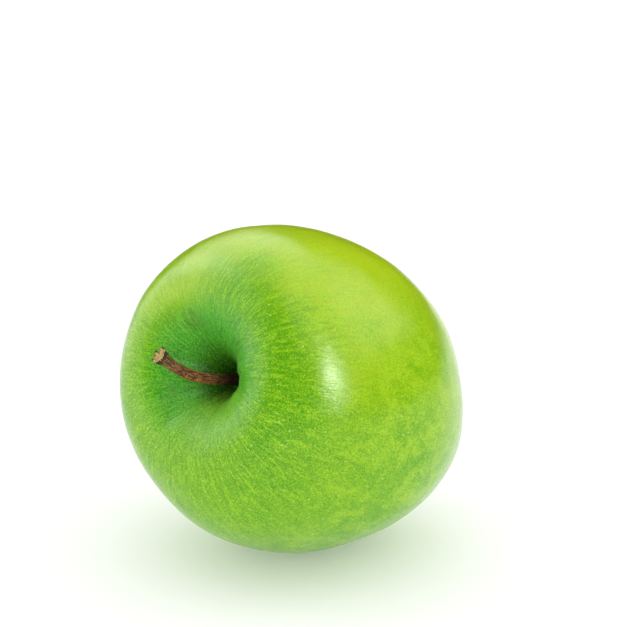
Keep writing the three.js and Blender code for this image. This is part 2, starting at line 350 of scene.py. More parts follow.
class Shader:
    """Builds a node material in few words. An input is a value or the socket of another node."""

    def __init__(self, name):
        self.material = bpy.data.materials.new(name)
        self.material.use_nodes = True
        self.tree = self.material.node_tree
        self.tree.nodes.clear()

    def put(self, kind, inputs, **settings):
        node = self.tree.nodes.new(kind)
        for key, value in settings.items():
            setattr(node, key, value)
        for key, value in inputs.items():
            socket = node.inputs[key]
            if isinstance(value, bpy.types.NodeSocket):
                self.tree.links.new(value, socket)
            else:
                socket.default_value = value
        return node

    def attribute(self, name):
        return self.put("ShaderNodeAttribute", {}, attribute_name=name).outputs["Vector"]

    def split(self, vector):
        return self.put("ShaderNodeSeparateXYZ", {0: vector}).outputs

    def stretch(self, vector, scale):
        node = self.put("ShaderNodeVectorMath", {0: vector, 1: scale}, operation="MULTIPLY")
        return node.outputs[0]

    def compute(self, operation, *values):
        inputs = dict(enumerate(values))
        return self.put("ShaderNodeMath", inputs, operation=operation).outputs[0]

    def multiply(self, first, *others):
        for other in others:
            first = self.compute("MULTIPLY", first, other)
        return first

    def noise(self, vector, scale=1.0, detail=2.0, roughness=0.5, distortion=0.0):
        node = self.put("ShaderNodeTexNoise", {
            "Vector": vector, "Scale": scale, "Detail": detail,
            "Roughness": roughness, "Distortion": distortion})
        return node.outputs["Fac"]

    def cells(self, vector, scale=1.0):
        """The distance to the nearest of many scattered points."""
        return self.put("ShaderNodeTexVoronoi", {"Vector": vector, "Scale": scale}).outputs["Distance"]

    def fade(self, value, start, end, low=0.0, high=1.0):
        """Goes smoothly from low to high while the value goes from start to end."""
        node = self.put("ShaderNodeMapRange", {
            "Value": value, "From Min": start, "From Max": end,
            "To Min": low, "To Max": high}, interpolation_type="SMOOTHSTEP")
        return node.outputs["Result"]

    def blend(self, share, a, b):
        """Inputs 0, 6 and 7 of the node are the share and the two colours."""
        return self.put("ShaderNodeMix", {0: share, 6: a, 7: b}, data_type="RGBA").outputs[2]

    def cover(self, base, colour, *shares):
        """Lays a colour over the base by the product of the shares."""
        return self.blend(self.multiply(*shares), base, colour)

    def bump(self, height, distance, strength):
        inputs = {"Height": height, "Distance": distance, "Strength": strength}
        return self.put("ShaderNodeBump", inputs).outputs["Normal"]

    def finish(self, inputs):
        surface = self.put("ShaderNodeBsdfPrincipled", inputs)
        self.put("ShaderNodeOutputMaterial", {"Surface": surface.outputs[0]})
        return self.material


# ---- Skin. Places are radii and heights in the fruit's own frame, in millimetres ----------

SUN_AND_SHEEN_TURN = math.radians(178)
COLLAR_TURN = math.radians(115)
COLLAR_TOP_TURN = math.radians(165)
LIT_WALL_TURN = math.radians(25)

SUN_AND_SHEEN_BORDER = (-12.0, 44.0)
SUN_AND_SHEEN_UNEVENNESS = 50.0
FLANK_EDGE = (34.0, 14.0)
COLLAR_INNER_EDGE = (9.0, 16.0)
COLLAR_OUTER_EDGE = (37.0, 26.0)
COLLAR_LOWER_EDGE = (8.0, 20.0)
COLLAR_UNEVENNESS = 14.0
COLLAR_TOP_SHIFT = 5.0
CAVITY_EDGE = (21.0, 11.0)
CAVITY_LOWER_EDGE = (16.0, 22.0)
ABOVE_STEM_EDGE = (14.0, 6.0)
THROAT_EDGE = (8.6, 4.4)
THROAT_LOWER_EDGE = (16.0, 20.0)
BASIN_EDGE = (13.0, 5.0)
BASIN_FLOOR_EDGE = (6.5, 3.4)
BASIN_UPPER_EDGE = (-24.0, -31.0)
STROKES_LOWER_EDGE = (4.0, 32.0)
STROKES_INNER_EDGE = (2.5, 7.0)
DULL_EDGE = (17.0, 9.0)
DULL_LOWER_EDGE = (14.0, 26.0)

# Scale of the cells, radius of a pore as a share of a cell, and how much of its colour shows
PORES = ((0.30, 0.085, 0.7), (0.47, 0.09, 0.6), (0.80, 0.13, 0.45))

SHADE_GREEN = srgb(106, 174, 4)
# Yellow of the top: partly the sunned skin's own colour, partly painted sheen
SUN_AND_SHEEN_GREEN = srgb(182, 207, 22)
# Each pair gives the colour below and a paler colour on top, whose paleness is partly painted sheen
PALE_IN_SHADE = srgb(158, 204, 26)
PALE_IN_SUN_AND_SHEEN = srgb(186, 213, 46)
DEEP_IN_SHADE = srgb(90, 164, 2)
DEEP_IN_SUN_AND_SHEEN = srgb(142, 194, 6)
MOTTLE_GREEN = srgb(172, 212, 40)
# Painted shade in a collar round the cavity
COLLAR_SHADE_GREEN = srgb(70, 158, 1)
# The cavity's deeper green: partly its own colour, partly painted shade
CAVITY_GREEN_AND_SHADE = srgb(42, 160, 4)
CAVITY_TEAL = srgb(14, 116, 30)
# Painted shade on the cavity's upper wall
ABOVE_STEM_SHADE = srgb(10, 98, 26)
RUSSET = srgb(98, 126, 22)
# Painted shade deep in the throat
THROAT_SHADE = srgb(2, 14, 5)
BASIN_GREEN = srgb(112, 140, 30)
BASIN_BROWN = srgb(92, 76, 34)
# The copies for the cavity are darker and deeper: they carry its painted shade
PALE_STROKE = srgb(158, 212, 32)
PALE_STROKE_IN_SHADED_CAVITY = srgb(116, 206, 26)
DARK_STROKE = srgb(56, 138, 6)
DARK_STROKE_IN_SHADED_CAVITY = srgb(20, 104, 8)
PALE_GRAIN = srgb(176, 216, 26)
PALE_GRAIN_IN_SHADED_CAVITY = srgb(108, 206, 20)
DARK_GRAIN = srgb(76, 150, 4)
DARK_GRAIN_IN_SHADED_CAVITY = srgb(16, 98, 6)
PORE_COLOUR = srgb(206, 226, 120)


class SkinShader(Shader):
    """The places and patterns of the skin, and the paints that go over each other."""

    def __init__(self):
        super().__init__("apple_skin")
        self.own = self.attribute("core_place")
        self.meridian = self.attribute("meridian")
        self.x, self.y, self.height = self.split(self.own)
        self.radius = self.compute("SQRT", self.compute(
            "ADD", self.multiply(self.x, self.x), self.multiply(self.y, self.y)))
        self.towards_top = self.towards(COLLAR_TOP_TURN)
        self.slow = self.noise(self.own, scale=0.045)
        self.blotches = self.noise(self.own, scale=0.20, detail=4.0, roughness=0.66, distortion=0.4)
        self.grain = self.noise(self.own, scale=2.8, roughness=0.9)
        self.fine_strokes = self.noise(
            self.stretch(self.meridian, (40.0, 40.0, 0.26)), detail=3.0, roughness=0.85)
        self.broad_strokes = self.noise(
            self.stretch(self.meridian, (24.0, 24.0, 0.14)), detail=4.0, roughness=0.80)
        # The side that hung in the sun is yellower, with an uneven border. It lies on top, so its pale
        # yellow is partly the skin's own colour and partly painted sheen from the light above
        self.sun_and_sheen = self.fade(
            self.compute("ADD", self.distance_along(SUN_AND_SHEEN_TURN), self.unevenness(SUN_AND_SHEEN_UNEVENNESS)),
            *SUN_AND_SHEEN_BORDER)
        self.near_crest = self.multiply(
            self.fade(self.height, *STROKES_LOWER_EDGE), self.fade(self.radius, *STROKES_INNER_EDGE))
        # The cavity is painted darker, partly its own deeper green and partly painted shade; the wall
        # that faces the light is left paler
        self.in_cavity = self.multiply(
            self.fade(self.radius, *CAVITY_EDGE), self.fade(self.height, *CAVITY_LOWER_EDGE),
            self.fade(self.towards(LIT_WALL_TURN), 0.35, 0.95, 1.0, 0.35))

    def distance_along(self, turn):
        """How far a point is from the core towards one side, in millimetres."""
        return self.compute("ADD", self.multiply(self.x, math.cos(turn)),
                            self.multiply(self.y, math.sin(turn)))

    def towards(self, turn):
        """1 on the side at a turn round the core, 0 beside it and -1 opposite."""
        never_zero = self.compute("ADD", self.radius, 0.1)
        return self.compute("DIVIDE", self.distance_along(turn), never_zero)

    def unevenness(self, amount):
        return self.multiply(self.compute("SUBTRACT", self.slow, 0.5), amount)

    def paint_flank(self, base):
        """Pale and deep blotches away from the cavity, most of all in the shade."""
        on_flank = self.multiply(
            self.fade(self.height, *FLANK_EDGE), self.fade(self.sun_and_sheen, 0.0, 1.0, 0.80, 0.24))
        pale = self.blend(self.sun_and_sheen, PALE_IN_SHADE, PALE_IN_SUN_AND_SHEEN)
        base = self.cover(base, pale, self.fade(self.blotches, 0.45, 0.63), on_flank)
        mottle = self.noise(self.own, scale=0.62, detail=3.0, roughness=0.7)
        base = self.cover(base, MOTTLE_GREEN, self.fade(mottle, 0.48, 0.64), on_flank, 0.5)
        deep = self.blend(self.sun_and_sheen, DEEP_IN_SHADE, DEEP_IN_SUN_AND_SHEEN)
        return self.cover(base, deep, self.fade(self.blotches, 0.46, 0.30), on_flank)

    def paint_shade_collar(self, base):
        """A collar of saturated green outside the cavity, on one side only. It is painted shade: it
        stands in for skin that reflects dark surroundings and so shows no pale sheen.
        """
        ragged = self.compute("ADD", self.radius, self.unevenness(COLLAR_UNEVENNESS))
        ragged = self.compute("ADD", ragged, self.multiply(self.towards_top, COLLAR_TOP_SHIFT))
        collar = self.multiply(
            self.fade(ragged, *COLLAR_INNER_EDGE), self.fade(ragged, *COLLAR_OUTER_EDGE),
            self.fade(self.height, *COLLAR_LOWER_EDGE),
            self.fade(self.towards(COLLAR_TURN), -0.1, 0.75))
        return self.cover(base, COLLAR_SHADE_GREEN, collar, 0.9)

    def paint_cavity(self, base):
        """A deep, cool green with darker patches, partly the cavity's own colour and partly painted
        shade, with more painted shade on the upper wall and nearly black painted shade at the stem.
        """
        base = self.cover(base, CAVITY_GREEN_AND_SHADE, self.in_cavity, 0.9)
        patches = self.fade(self.blotches, 0.52, 0.34)
        base = self.cover(base, CAVITY_TEAL, patches, self.in_cavity, 0.6)
        # Painted shade on the upper wall near the stem, which faces down, away from the light above
        above_stem_shade = self.multiply(
            self.fade(self.towards_top, 0.45, 0.95), self.fade(self.radius, *ABOVE_STEM_EDGE))
        base = self.cover(base, ABOVE_STEM_SHADE, above_stem_shade, self.in_cavity, 0.6)
        russet = self.noise(self.own, scale=0.16, detail=3.0, roughness=0.6)
        base = self.cover(base, RUSSET, self.fade(russet, 0.52, 0.66), self.in_cavity, 0.45)
        # Painted shade: nearly black green deep in the throat round the stem
        return self.cover(base, THROAT_SHADE, self.fade(self.radius, *THROAT_EDGE),
                          self.fade(self.height, *THROAT_LOWER_EDGE), 0.97)

    def paint_basin(self, base):
        """Duller in the basin, and brown at its floor."""
        deep_down = self.fade(self.height, *BASIN_UPPER_EDGE)
        in_basin = self.fade(self.radius, *BASIN_EDGE)
        base = self.cover(base, BASIN_GREEN, in_basin, deep_down, 0.6)
        at_floor = self.fade(self.radius, *BASIN_FLOOR_EDGE)
        return self.cover(base, BASIN_BROWN, at_floor, deep_down, 0.8)

    def paint_strokes(self, base):
        """Fine pale and broad dark strokes along the meridians, strongest round the cavity."""
        # Inside the cavity the strokes take darker copies that carry its painted shade
        pale = self.blend(self.in_cavity, PALE_STROKE, PALE_STROKE_IN_SHADED_CAVITY)
        base = self.cover(
            base, pale, self.fade(self.fine_strokes, 0.48, 0.61), self.near_crest, 0.75)
        dark = self.blend(self.in_cavity, DARK_STROKE, DARK_STROKE_IN_SHADED_CAVITY)
        return self.cover(
            base, dark, self.fade(self.broad_strokes, 0.48, 0.66), self.near_crest,
            self.fade(self.sun_and_sheen, 0.1, 0.9, 1.0, 0.35), 0.60)

    def paint_grain(self, base):
        """Fine pale and dark grain, weaker on the sunny side."""
        share = self.fade(self.sun_and_sheen, 0.0, 1.0, 0.72, 0.36)
        # Inside the cavity the grain takes darker copies that carry its painted shade
        pale = self.blend(self.in_cavity, PALE_GRAIN, PALE_GRAIN_IN_SHADED_CAVITY)
        base = self.cover(base, pale, self.fade(self.grain, 0.46, 0.68), share)
        dark = self.blend(self.in_cavity, DARK_GRAIN, DARK_GRAIN_IN_SHADED_CAVITY)
        return self.cover(base, dark, self.fade(self.grain, 0.54, 0.32), share)

    def paint_pores(self, base):
        """Small pale pores, scattered at three densities, with few inside the cavity."""
        outside = self.fade(self.in_cavity, 0.4, 0.0)
        for scale, size, amount in PORES:
            dots = self.fade(self.cells(self.own, scale), size, size * 0.4)
            base = self.cover(base, PORE_COLOUR, dots, outside, amount)
        return base

    def relief(self):
        """A trace of the grain, and the fine strokes round the cavity."""
        height = self.compute("ADD", self.multiply(self.grain, 0.2),
                              self.multiply(self.fine_strokes, self.near_crest))
        return self.bump(height, 0.15 * MM, 0.6)

    def roughness(self):
        """Smooth and slightly uneven, and duller inside the cavity."""
        uneven = self.noise(self.own, scale=0.5, detail=3.0, roughness=0.6)
        dull = self.multiply(self.fade(self.radius, *DULL_EDGE, 0.0, 0.30),
                             self.fade(self.height, *DULL_LOWER_EDGE))
        return self.compute("ADD", self.fade(uneven, 0.3, 0.7, 0.17, 0.22), dull)


def skin_material():
    skin = SkinShader()
    # Greener below and yellower on top: partly the skin's own colours, partly painted sheen on top
    base = skin.blend(skin.sun_and_sheen, SHADE_GREEN, SUN_AND_SHEEN_GREEN)
    for paint in (
            skin.paint_flank, skin.paint_shade_collar, skin.paint_cavity, skin.paint_basin,
            skin.paint_strokes, skin.paint_grain, skin.paint_pores):
        base = paint(base)
    return skin.finish({
        "Base Color": base, "Roughness": skin.roughness(), "Specular IOR Level": 0.34,
        "Normal": skin.relief(), "Subsurface Weight": 0.08,
        "Subsurface Radius": (0.5, 1.0, 0.1), "Subsurface Scale": 1.5 * MM})


# ---- Curves and tubes ---------------------------------------------------------------------

CURVE_STEPS = 40


def vary(index, pace):
    """Between -1 and 1, and different for each number, in place of chance."""
    return math.sin(index * pace)


def smooth_curve(knots, count):
    """Even steps along a Catmull-Rom curve through given knots, and the length up to each."""
    knots = np.array(knots, dtype=float)
    padded = np.vstack([2 * knots[0] - knots[1], knots, 2 * knots[-1] - knots[-2]])
    dense = []
    for index in range(len(knots) - 1):
        p0, p1, p2, p3 = padded[index:index + 4]
        for t in np.linspace(0, 1, CURVE_STEPS, endpoint=False):
            dense.append(0.5 * (
                2 * p1 + (p2 - p0) * t + (2 * p0 - 5 * p1 + 4 * p2 - p3) * t ** 2
                + (3 * p1 - p0 - 3 * p2 + p3) * t ** 3))
    dense.append(knots[-1])
    dense = np.array(dense)
    length = np.concatenate([[0], np.cumsum(np.linalg.norm(np.diff(dense, axis=0), axis=1))])
    even = np.linspace(0, length[-1], count)
    return np.stack([np.interp(even, length, dense[:, axis]) for axis in range(3)], axis=1), even


def tube_points(path, side_hint, half_width, half_thickness):
    """Rings round a path, as an array of rings by sides by three. Both halves are given per point."""
    tangents = np.gradient(path, axis=0)
    tangents /= np.linalg.norm(tangents, axis=1, keepdims=True)
    across = side_hint - tangents * (tangents @ side_hint)[:, None]
    across /= np.linalg.norm(across, axis=1, keepdims=True)
    through = np.cross(tangents, across)
    angle = angles(half_width.shape[1])
    return (
        path[:, None, :]
        + across[:, None, :] * (np.cos(angle)[None, :] * half_width)[..., None]
        + through[:, None, :] * (np.sin(angle)[None, :] * half_thickness)[..., None])


# ---- Stem ---------------------------------------------------------------------------------

STEM_RADIUS = 1.25
STEM_FOOT_RADIUS = 1.6
STEM_KNOB_RADIUS = 1.85
STEM_KNOB_LENGTH = 3.2
# Sideways places of the bends, and their share of the way from the foot to the tip
STEM_BENDS = ((0.9, -1.2, 0.30), (0.9, -2.1, 0.58), (-0.4, -2.9, 0.82))
STEM_TIP = (-2.2, -3.7)

RIDGE_HEIGHT = 0.10
LUMP_SIZE = 2.2
LUMP_HEIGHT = 0.13
KNOB_LUMP_GAIN = 1.4
RIM_WIDTH = 0.5
RIM_HEIGHT = 0.10
RIM_RAGGEDNESS = 0.30
# Rings of the cut face: share of the rim's radius, and depth below the rim
FACE_RINGS = ((0.86, 0.06), (0.74, 0.34), (0.45, 0.50), (0.18, 0.42))
FACE_RELIEF = 0.16

SPLINTER_COUNT = 14
SPLINTER_START = 5
SPLINTER_STRIDE = 29
SPLINTER_LENGTH = 0.45
SPLINTER_LENGTH_SPREAD = 0.35
SPLINTER_LEAN = 0.5
SPLINTER_LEAN_SPREAD = 0.4
SPLINTER_ROOT = 0.2
SPLINTER_INSET = 0.15
SPLINTER_RADII = (0.13, 0.12, 0.08, 0.02)
SPLINTER_SIDES = 5

BARK_DARK = srgb(58, 24, 8)
BARK_PALE = srgb(208, 136, 74)
BARK_RED = srgb(134, 66, 26)
KNOB_DARK = srgb(36, 20, 9)
KNOB_PALE = srgb(150, 112, 60)
RIM_BROWN = srgb(30, 17, 8)
FLECK_TAN = srgb(206, 166, 112)
# Painted shade on the stem's foot in the throat
STEM_FOOT_SHADE = srgb(22, 12, 5)
WOOD_DARK = srgb(112, 80, 30)
WOOD_PALE = srgb(238, 210, 126)


def stem_knots():
    """Straight up from the cavity's floor, and then over its bends to the tip."""
    foot = CAVITY_FLOOR_HEIGHT + GAP
    tip = SHOULDER_HEIGHT + STEM_RISE
    bends = [(x, y, lerp(foot, tip, share)) for x, y, share in STEM_BENDS]
    return [(0, 0, foot), (0, 0, foot + STEM_FOOT_RADIUS), *bends, (*STEM_TIP, tip)]


def bark_relief(rings, unrolled, from_tip, knob):
    """Lengthwise ridges, lumps, and a rim that stands up raggedly round the knob."""
    ridges = field(unrolled * np.array([3.2, 3.2, 0.35]), 1.0, 1.7)
    lumps = field(rings, LUMP_SIZE, 5.2)
    ragged = field(unrolled * np.array([7.0, 7.0, 2.0]), 1.0, 9.1)
    rim = np.exp(-(from_tip[:, None] / RIM_WIDTH) ** 2)
    return (
        RIDGE_HEIGHT * ridges + LUMP_HEIGHT * lumps * (1 + KNOB_LUMP_GAIN * knob)
        + rim * (RIM_HEIGHT + RIM_RAGGEDNESS * ragged))


def cut_face(rim, middle, outwards):
    """Uneven rings that lie sunk inside the rim."""
    face = np.array([
        middle + (rim - middle) * share - outwards * depth for share, depth in FACE_RINGS])
    return face + outwards * (FACE_RELIEF * field(face, 0.5, 4.4))[..., None]


def splinter_points(rim, middle, outwards, index):
    """One torn fibre of bark on the knob's rim."""
    side = (index * SPLINTER_STRIDE + SPLINTER_START) % len(rim)
    away = (rim[side] - middle) / np.linalg.norm(rim[side] - middle)
    length = SPLINTER_LENGTH + SPLINTER_LENGTH_SPREAD * vary(index, 1.9) ** 2
    direction = outwards + away * (SPLINTER_LEAN + SPLINTER_LEAN_SPREAD * vary(index, 2.7))
    direction /= np.linalg.norm(direction)
    steps = np.linspace(-SPLINTER_ROOT, length, len(SPLINTER_RADII))
    path = rim[side] - away * SPLINTER_INSET + direction[None, :] * steps[:, None]
    radius = np.array(SPLINTER_RADII)[:, None] * np.ones(SPLINTER_SIDES)
    return tube_points(path, np.cross(direction, away), radius, radius)


def make_stem():
    count, sides = ((170, 72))
    path, along = smooth_curve(stem_knots(), count)
    length = along[-1]
    from_tip = length - along
    angle = angles(sides)
    foot = (STEM_FOOT_RADIUS - STEM_RADIUS) * np.exp(-along / STEM_FOOT_RADIUS)
    knob = smoothstep(STEM_KNOB_LENGTH, 0, from_tip)[:, None]
    radius = (STEM_RADIUS + foot)[:, None] + (STEM_KNOB_RADIUS - STEM_RADIUS) * knob
    radius = radius * np.ones(sides)
    hint = np.array([1.0, 0, 0])
    rings = tube_points(path, hint, radius, radius)
    radius = radius + bark_relief(rings, around_and_along(along, angle), from_tip, knob)
    rings = tube_points(path, hint, radius, radius)
    outwards = path[-1] - path[-2]
    outwards /= np.linalg.norm(outwards)
    face = cut_face(rings[-1], path[-1], outwards)
    face_along = np.linspace(length, length + STEM_KNOB_RADIUS, len(face))
    shells = [np.concatenate([rings, face])]
    places = [around_and_along(np.concatenate([along, face_along]), angle)]
    # A zone's x is the share of the length, and its y is 1 on the cut face
    zone = np.zeros_like(shells[0])
    zone[..., 0] = np.concatenate([along / length, np.ones(len(face))])[:, None]
    zone[count:, :, 1] = 1
    zones = [zone]
    for splinter in range(SPLINTER_COUNT):
        shell = splinter_points(rings[-2], path[-1], outwards, splinter)
        shells.append(shell)
        places.append(around_and_along(np.full(len(shell), length), angle[:SPLINTER_SIDES]))
        at_tip = np.zeros_like(shell)
        at_tip[..., 0] = 1
        zones.append(at_tip)
    stem = shells_object("apple_stem", [place(shell, SHIFT) for shell in shells])
    store_vector(stem.data, "bark_place", places)
    store_vector(stem.data, "bark_zone", zones)
    return stem


def stem_material():
    """Fibrous bark, duller at the knob and dark at its rim, with painted shade on its foot deep in the
    throat, and a pale cut face.
    """
    s = Shader("apple_stem_bark")
    bark = s.attribute("bark_place")
    along, on_face, _ = s.split(s.attribute("bark_zone"))
    fibres = s.noise(s.stretch(bark, (6.0, 6.0, 0.55)), detail=4.0, roughness=0.75)
    lumps = s.noise(s.stretch(bark, (1.4, 1.4, 0.45)))
    flecks = s.cells(s.stretch(bark, (2.6, 2.6, 1.1)))
    grain = s.noise(bark, scale=3.0, detail=3.0, roughness=0.7)
    colour = s.blend(s.fade(fibres, 0.44, 0.60), BARK_DARK, BARK_PALE)
    colour = s.cover(colour, BARK_RED, s.fade(lumps, 0.46, 0.68), 0.5)
    knob = s.blend(s.fade(fibres, 0.42, 0.58), KNOB_DARK, KNOB_PALE)
    colour = s.cover(colour, knob, s.fade(along, 0.66, 0.92), 0.85)
    colour = s.cover(colour, RIM_BROWN, s.fade(along, 0.94, 0.975), 0.75)
    colour = s.cover(colour, FLECK_TAN, s.fade(flecks, 0.26, 0.12), 0.7)
    # Painted shade: the stem's foot darkens where it sinks into the throat
    colour = s.cover(colour, STEM_FOOT_SHADE, s.fade(along, 0.40, 0.14), 0.9)
    wood = s.blend(s.fade(grain, 0.38, 0.62), WOOD_DARK, WOOD_PALE)
    colour = s.blend(on_face, colour, wood)
    return s.finish({
        "Base Color": colour, "Roughness": s.fade(lumps, 0.3, 0.7, 0.55, 0.75),
        "Specular IOR Level": 0.3, "Normal": s.bump(fibres, 0.25 * MM, 0.9)})


# ---- Remains of the blossom, in the basin -------------------------------------------------

SEPAL_COUNT = 5
SEPAL_LENGTH = 6.5
SEPAL_WIDTH = 3.0
SEPAL_THICKNESS = 0.5
# Where a sepal goes: outwards and up from its foot, as shares of its length
SEPAL_STEPS = ((0, 0), (0.07, 0.30), (0.26, 0.56), (0.56, 0.66), (0.78, 0.56))
SEPAL_CURL_SPREAD = 0.12
SEPAL_TWIST = 0.10
SEPAL_TIP_WIDTH = 0.1
SEPAL_FOOT_WIDTH = 0.72
SEPAL_THINNING = 0.6
SEPAL_RAGGEDNESS = 0.10
SEPAL_EDGE_PACE = 19
SEPAL_FOLD = 0.42
# Size, a step in the noise from one sepal to the next, and height
SEPAL_WRINKLES = ((1.3, 3.7, 0.16), (0.45, 5.1, 0.06))

STAMEN_COUNT = 10
STAMEN_RADIUS = 0.22
STAMEN_LENGTH = 4.2
STAMEN_RING_RADIUS = 1.45
STAMEN_LEAN = 0.12
STAMEN_LEAN_SPREAD = 0.08
STAMEN_LENGTH_SPREAD = 0.12
STAMEN_CROOK = 0.05
STAMEN_FOOT_SHARE = 0.75
STAMEN_TAPER = 0.25
STAMEN_WIDENING = 1.2
STAMEN_FLATTENING = 0.85
STAMEN_SHRIVEL = 0.35
ANTHER_PLACE = 0.93
ANTHER_LENGTH = 0.055
ANTHER_SWELL = 0.16
SEPAL_FOOT_RADIUS = STAMEN_RING_RADIUS + STAMEN_RADIUS + GAP + SEPAL_THICKNESS

STYLE_COUNT = 5
STYLE_RADIUS = 0.55
STYLE_LENGTH = 3.6
STYLE_TAPER = 0.45
STYLE_SWELL = 0.08
STYLE_PARTING = 0.30
STYLE_RELIEF = 0.06

SEPAL_DARK = srgb(62, 42, 24)
SEPAL_PALE = srgb(128, 100, 64)
SEPAL_OLIVE = srgb(96, 88, 48)
SEPAL_TIP = srgb(40, 26, 16)
SEPAL_DOWN = srgb(176, 166, 136)
STAMEN_DARK = srgb(48, 28, 16)
STAMEN_PALE = srgb(110, 78, 46)
ANTHER_BROWN = srgb(66, 44, 30)
STYLE_DARK = srgb(56, 36, 22)
STYLE_PALE = srgb(138, 108, 72)
STYLE_TIP = srgb(44, 28, 18)


def basin_point(radius, turn, out):
    """A point at a radius from the core, at an angle round it and a distance out of the basin."""
    return (radius * math.cos(turn), radius * math.sin(turn), BASIN_FLOOR_HEIGHT - out)


def closing(share, part, least):
    """1 along a thread, and less over the last part of its length, so that it ends bluntly."""
    return np.where(share > 1 - part, np.sqrt(np.clip((1 - share) / part, least, 1)), 1)


def make_sepal(index):
    """A dried blade that stands on the basin's floor and curls outwards, folded and wrinkled."""
    count, sides = ((46, 40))
    turn = TURN * (index + 0.5) / SEPAL_COUNT
    curl = 1 + SEPAL_CURL_SPREAD * vary(index, 2.3)
    knots = [
        basin_point(SEPAL_FOOT_RADIUS + out * curl * SEPAL_LENGTH,
                    turn + SEPAL_TWIST * out * vary(index, 1.3), GAP + up * SEPAL_LENGTH)
        for out, up in SEPAL_STEPS]
    path, along = smooth_curve(knots, count)
    share = along / along[-1]
    angle = angles(sides)
    half_width = (
        SEPAL_WIDTH / 2 * lerp(SEPAL_TIP_WIDTH, 1, np.cos(QUARTER * share) ** 0.8)
        * lerp(SEPAL_FOOT_WIDTH, 1, np.sin(np.pi * share)))
    ragged_edge = 1 + SEPAL_RAGGEDNESS * np.sin(share * SEPAL_EDGE_PACE + index) * share
    half_width = (half_width * ragged_edge)[:, None] * np.ones(sides)
    half_thickness = SEPAL_THICKNESS / 2 * (1 - SEPAL_THINNING * share)
    half_thickness = half_thickness[:, None] * np.ones(sides)
    across = np.array([-math.sin(turn), math.cos(turn), 0])
    flat = tube_points(path, across, half_width, half_thickness)
    tangents = np.gradient(path, axis=0)
    through = np.cross(tangents / np.linalg.norm(tangents, axis=1, keepdims=True), across)
    fold = SEPAL_FOLD * np.cos(angle)[None, :] ** 2 * np.sin(np.pi * share ** 0.8)[:, None]
    wrinkle = sum(
        height * field(flat, size, index * step) for size, step, height in SEPAL_WRINKLES)
    lift = wrinkle * np.minimum(1, share * 4)[:, None] - fold
    blade = flat + through[:, None, :] * lift[..., None]
    sepal = shells_object(f"dried_sepal_{index + 1}", [place(blade, SHIFT)])
    own = np.stack([
        np.broadcast_to(np.cos(angle), lift.shape), np.broadcast_to(share[:, None], lift.shape),
        np.full(lift.shape, float(index))], axis=-1)
    store_vector(sepal.data, "blade_place", [own])
    return sepal


def sepal_material():
    """Veined and blotched, dark at the tip, with traces of pale down."""
    s = Shader("dried_sepal")
    blade = s.attribute("blade_place")
    along = s.split(blade)["Y"]
    veins = s.noise(s.stretch(blade, (5.0, 1.6, 4.0)), detail=4.0, roughness=0.7)
    blotches = s.noise(s.stretch(blade, (1.5, 2.5, 7.0)), detail=3.0, roughness=0.6)
    down = s.noise(s.stretch(blade, (22.0, 9.0, 5.0)), roughness=0.6)
    colour = s.blend(s.fade(veins, 0.38, 0.62), SEPAL_DARK, SEPAL_PALE)
    colour = s.blend(s.fade(blotches, 0.45, 0.65), colour, SEPAL_OLIVE)
    colour = s.cover(colour, SEPAL_TIP, s.fade(along, 0.70, 1.0), 0.75)
    colour = s.cover(colour, SEPAL_DOWN, s.fade(down, 0.56, 0.70), 0.6)
    return s.finish({
        "Base Color": colour, "Roughness": s.fade(blotches, 0.3, 0.7, 0.72, 0.9),
        "Specular IOR Level": 0.25, "Normal": s.bump(veins, 0.2 * MM, 0.8),
        "Sheen Weight": 0.25, "Sheen Roughness": 0.5})


def make_stamen(index):
    """A thin crooked thread with the shrivelled anther at its end."""
    count, sides = ((40, 14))
    turn = TURN * index / STAMEN_COUNT
    length = STAMEN_LENGTH * (1 + STAMEN_LENGTH_SPREAD * math.cos(index * 1.7))
    reach = (STAMEN_LEAN + STAMEN_LEAN_SPREAD * vary(index, 2.4)) * length
    crook = STAMEN_CROOK * vary(index, 3.1)
    # Share of the reach, sideways turn, and share of the length
    steps = ((0, 0, 0), (0.1, crook, 0.28), (0.4, -crook, 0.62), (1, 0, 1))
    knots = [
        basin_point(STAMEN_RING_RADIUS + out * reach, turn + aside, GAP + up * length)
        for out, aside, up in steps]
    path, along = smooth_curve(knots, count)
    share = along / along[-1]
    anther = ANTHER_SWELL * np.exp(-((share - ANTHER_PLACE) / ANTHER_LENGTH) ** 2)
    radius = STAMEN_RADIUS * (STAMEN_FOOT_SHARE - STAMEN_TAPER * share) + anther
    radius = (radius * closing(share, part=0.05, least=0.02))[:, None] * np.ones(sides)
    hint = np.array([math.cos(turn), math.sin(turn), 0.0])
    rings = tube_points(path, hint, radius * STAMEN_WIDENING, radius * STAMEN_FLATTENING)
    shrivel = 1 + STAMEN_SHRIVEL * field(rings, 0.35, index * 1.9)
    rings = path[:, None, :] + (rings - path[:, None, :]) * shrivel[..., None]
    stamen = shells_object(f"dried_stamen_{index + 1:02d}", [place(rings, SHIFT)])
    own = around_and_along(share, angles(sides))
    own[..., 0] += index
    store_vector(stamen.data, "thread_place", [own])
    return stamen


def stamen_material():
    s = Shader("dried_stamen")
    thread = s.attribute("thread_place")
    along = s.split(thread)["Z"]
    streaks = s.noise(s.stretch(thread, (2.0, 2.0, 6.0)), detail=3.0, roughness=0.65)
    colour = s.blend(s.fade(streaks, 0.38, 0.62), STAMEN_DARK, STAMEN_PALE)
    colour = s.blend(s.fade(along, 0.80, 0.90), colour, ANTHER_BROWN)
    return s.finish({
        "Base Color": colour, "Roughness": s.fade(streaks, 0.3, 0.7, 0.65, 0.85),
        "Specular IOR Level": 0.3, "Normal": s.bump(streaks, 0.1 * MM, 0.7)})


